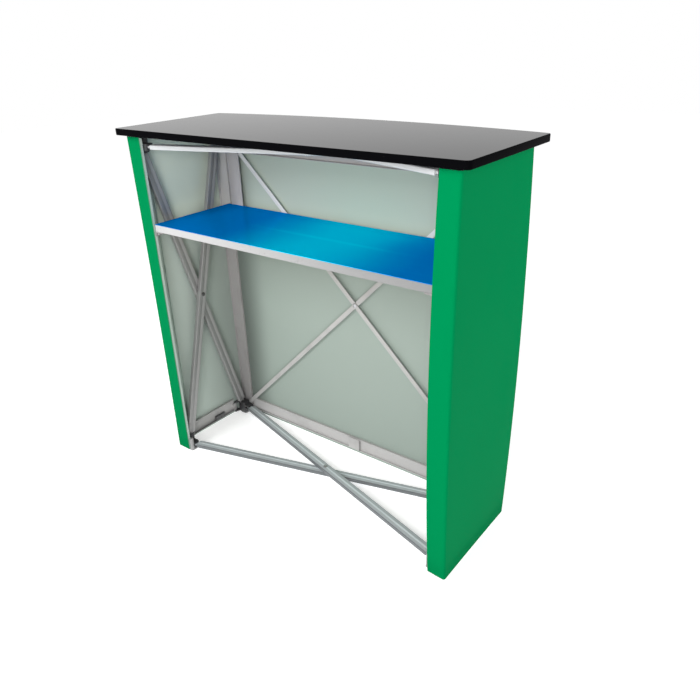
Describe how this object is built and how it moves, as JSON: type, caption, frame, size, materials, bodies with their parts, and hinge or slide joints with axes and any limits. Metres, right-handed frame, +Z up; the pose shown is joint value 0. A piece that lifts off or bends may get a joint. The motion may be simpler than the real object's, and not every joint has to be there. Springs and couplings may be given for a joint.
{
  "type": "pop-up counter",
  "caption": "Free-standing pop-up serving counter: scissor strut frame in moulded hubs, wrap-round sheet panels on edge bars, an inner shelf and a loose top with a bowed customer edge.",
  "frame": {"origin": "on the floor, under the middle of the top", "axes": "+X along the counter to the right of someone who faces it from the open staff side, +Y from the staff side to the customer side, +Z up"},
  "size_m": [1.015, 0.404, 0.97],
  "materials": {
    "black_plastic": "moulded satin",
    "aluminium": "satin anodised",
    "steel": "bright",
    "bar_grey": "matt painted",
    "brace_white": "satin painted",
    "foot_grey": "moulded",
    "sheet_green": "satin sheet",
    "shelf_blue": "gloss laminate",
    "edge_white": "satin edge band",
    "board_core": "raw board",
    "top_board": "gloss black laminate",
    "top_edge": "gloss edge band"
  },
  "bodies": {
    "frame": {"bar_customer_floor_left": "bar_grey", "bar_customer_floor_right": "bar_grey", "bar_customer_left": "bar_grey", "bar_customer_right": "bar_grey", "bar_customer_top": "bar_grey", "bar_staff_left": "bar_grey", "bar_staff_right": "bar_grey", "brace_far": "brace_white", "brace_near": "brace_white", "foot_customer_left": "foot_grey", "foot_customer_right": "foot_grey", "foot_staff_left": "foot_grey", "foot_staff_right": "foot_grey", "hub_floor_customer_left": "black_plastic", "hub_floor_customer_right": "black_plastic", "hub_floor_staff_left": "black_plastic", "hub_floor_staff_right": "black_plastic", "hub_top_customer_left": "black_plastic", "hub_top_customer_right": "black_plastic", "hub_top_staff_left": "black_plastic", "hub_top_staff_right": "black_plastic", "joiner_customer_floor": "bar_grey", "rivet_customer": "steel", "rivet_floor": "steel", "rivet_left": "steel", "rivet_right": "steel", "rivet_top": "steel", "shelf_bracket_left": "brace_white", "shelf_bracket_right": "brace_white", "shelf_hanger_left": "brace_white", "shelf_hanger_right": "brace_white", "strut_floor_from_staff_left": "aluminium", "strut_floor_from_staff_right": "aluminium", "strut_left_inner": "aluminium", "strut_left_outer": "aluminium", "strut_right_inner": "aluminium", "strut_right_outer": "aluminium", "strut_top_from_staff_left": "aluminium", "strut_top_from_staff_right": "aluminium"},
    "top": {"top_board": "top_board", "top_edging": "top_edge"},
    "shelf": {"shelf_board": "board_core", "shelf_laminate": "shelf_blue", "shelf_edging": "edge_white"},
    "left_panel": {"panel_left": "sheet_green"},
    "right_panel": {"panel_right": "sheet_green"},
    "customer_panel": {"panel_customer": "sheet_green"},
    "arm_staff_left": {"lock_arm_staff_left": "bar_grey", "coupler_staff_left": "black_plastic"},
    "arm_staff_right": {"lock_arm_staff_right": "bar_grey", "coupler_staff_right": "black_plastic"},
    "arm_customer_left": {"lock_arm_customer_left": "bar_grey", "coupler_customer_left": "black_plastic"},
    "arm_customer_right": {"lock_arm_customer_right": "bar_grey", "coupler_customer_right": "black_plastic"}
  },
  "joints": [
    {"name": "top_lift", "type": "slide", "parent": "frame", "child": "top", "axis": [0, 0, 1], "range_m": [0, 0.15]},
    {"name": "shelf_slide", "type": "slide", "parent": "frame", "child": "shelf", "axis": [0, -1, 0], "range_m": [0, 0.3]},
    {"name": "left_panel_pull", "type": "slide", "parent": "frame", "child": "left_panel", "axis": [-1, 0, 0], "range_m": [0, 0.15]},
    {"name": "right_panel_pull", "type": "slide", "parent": "frame", "child": "right_panel", "axis": [1, 0, 0], "range_m": [0, 0.15]},
    {"name": "customer_panel_pull", "type": "slide", "parent": "frame", "child": "customer_panel", "axis": [0, 1, 0], "range_m": [0, 0.2]},
    {"name": "arm_staff_left_swing", "type": "hinge", "parent": "frame", "child": "arm_staff_left", "pos_m": [-0.4792, -0.1354, 0.034], "axis": [0, 0, -1], "range_deg": [0, 70]},
    {"name": "arm_staff_right_swing", "type": "hinge", "parent": "frame", "child": "arm_staff_right", "pos_m": [0.4792, -0.1354, 0.034], "axis": [0, 0, 1], "range_deg": [0, 70]},
    {"name": "arm_customer_left_swing", "type": "hinge", "parent": "frame", "child": "arm_customer_left", "pos_m": [-0.4792, 0.0608, 0.034], "axis": [0, 0, 1], "range_deg": [0, 70]},
    {"name": "arm_customer_right_swing", "type": "hinge", "parent": "frame", "child": "arm_customer_right", "pos_m": [0.4792, 0.0608, 0.034], "axis": [0, 0, -1], "range_deg": [0, 70]}
  ]
}
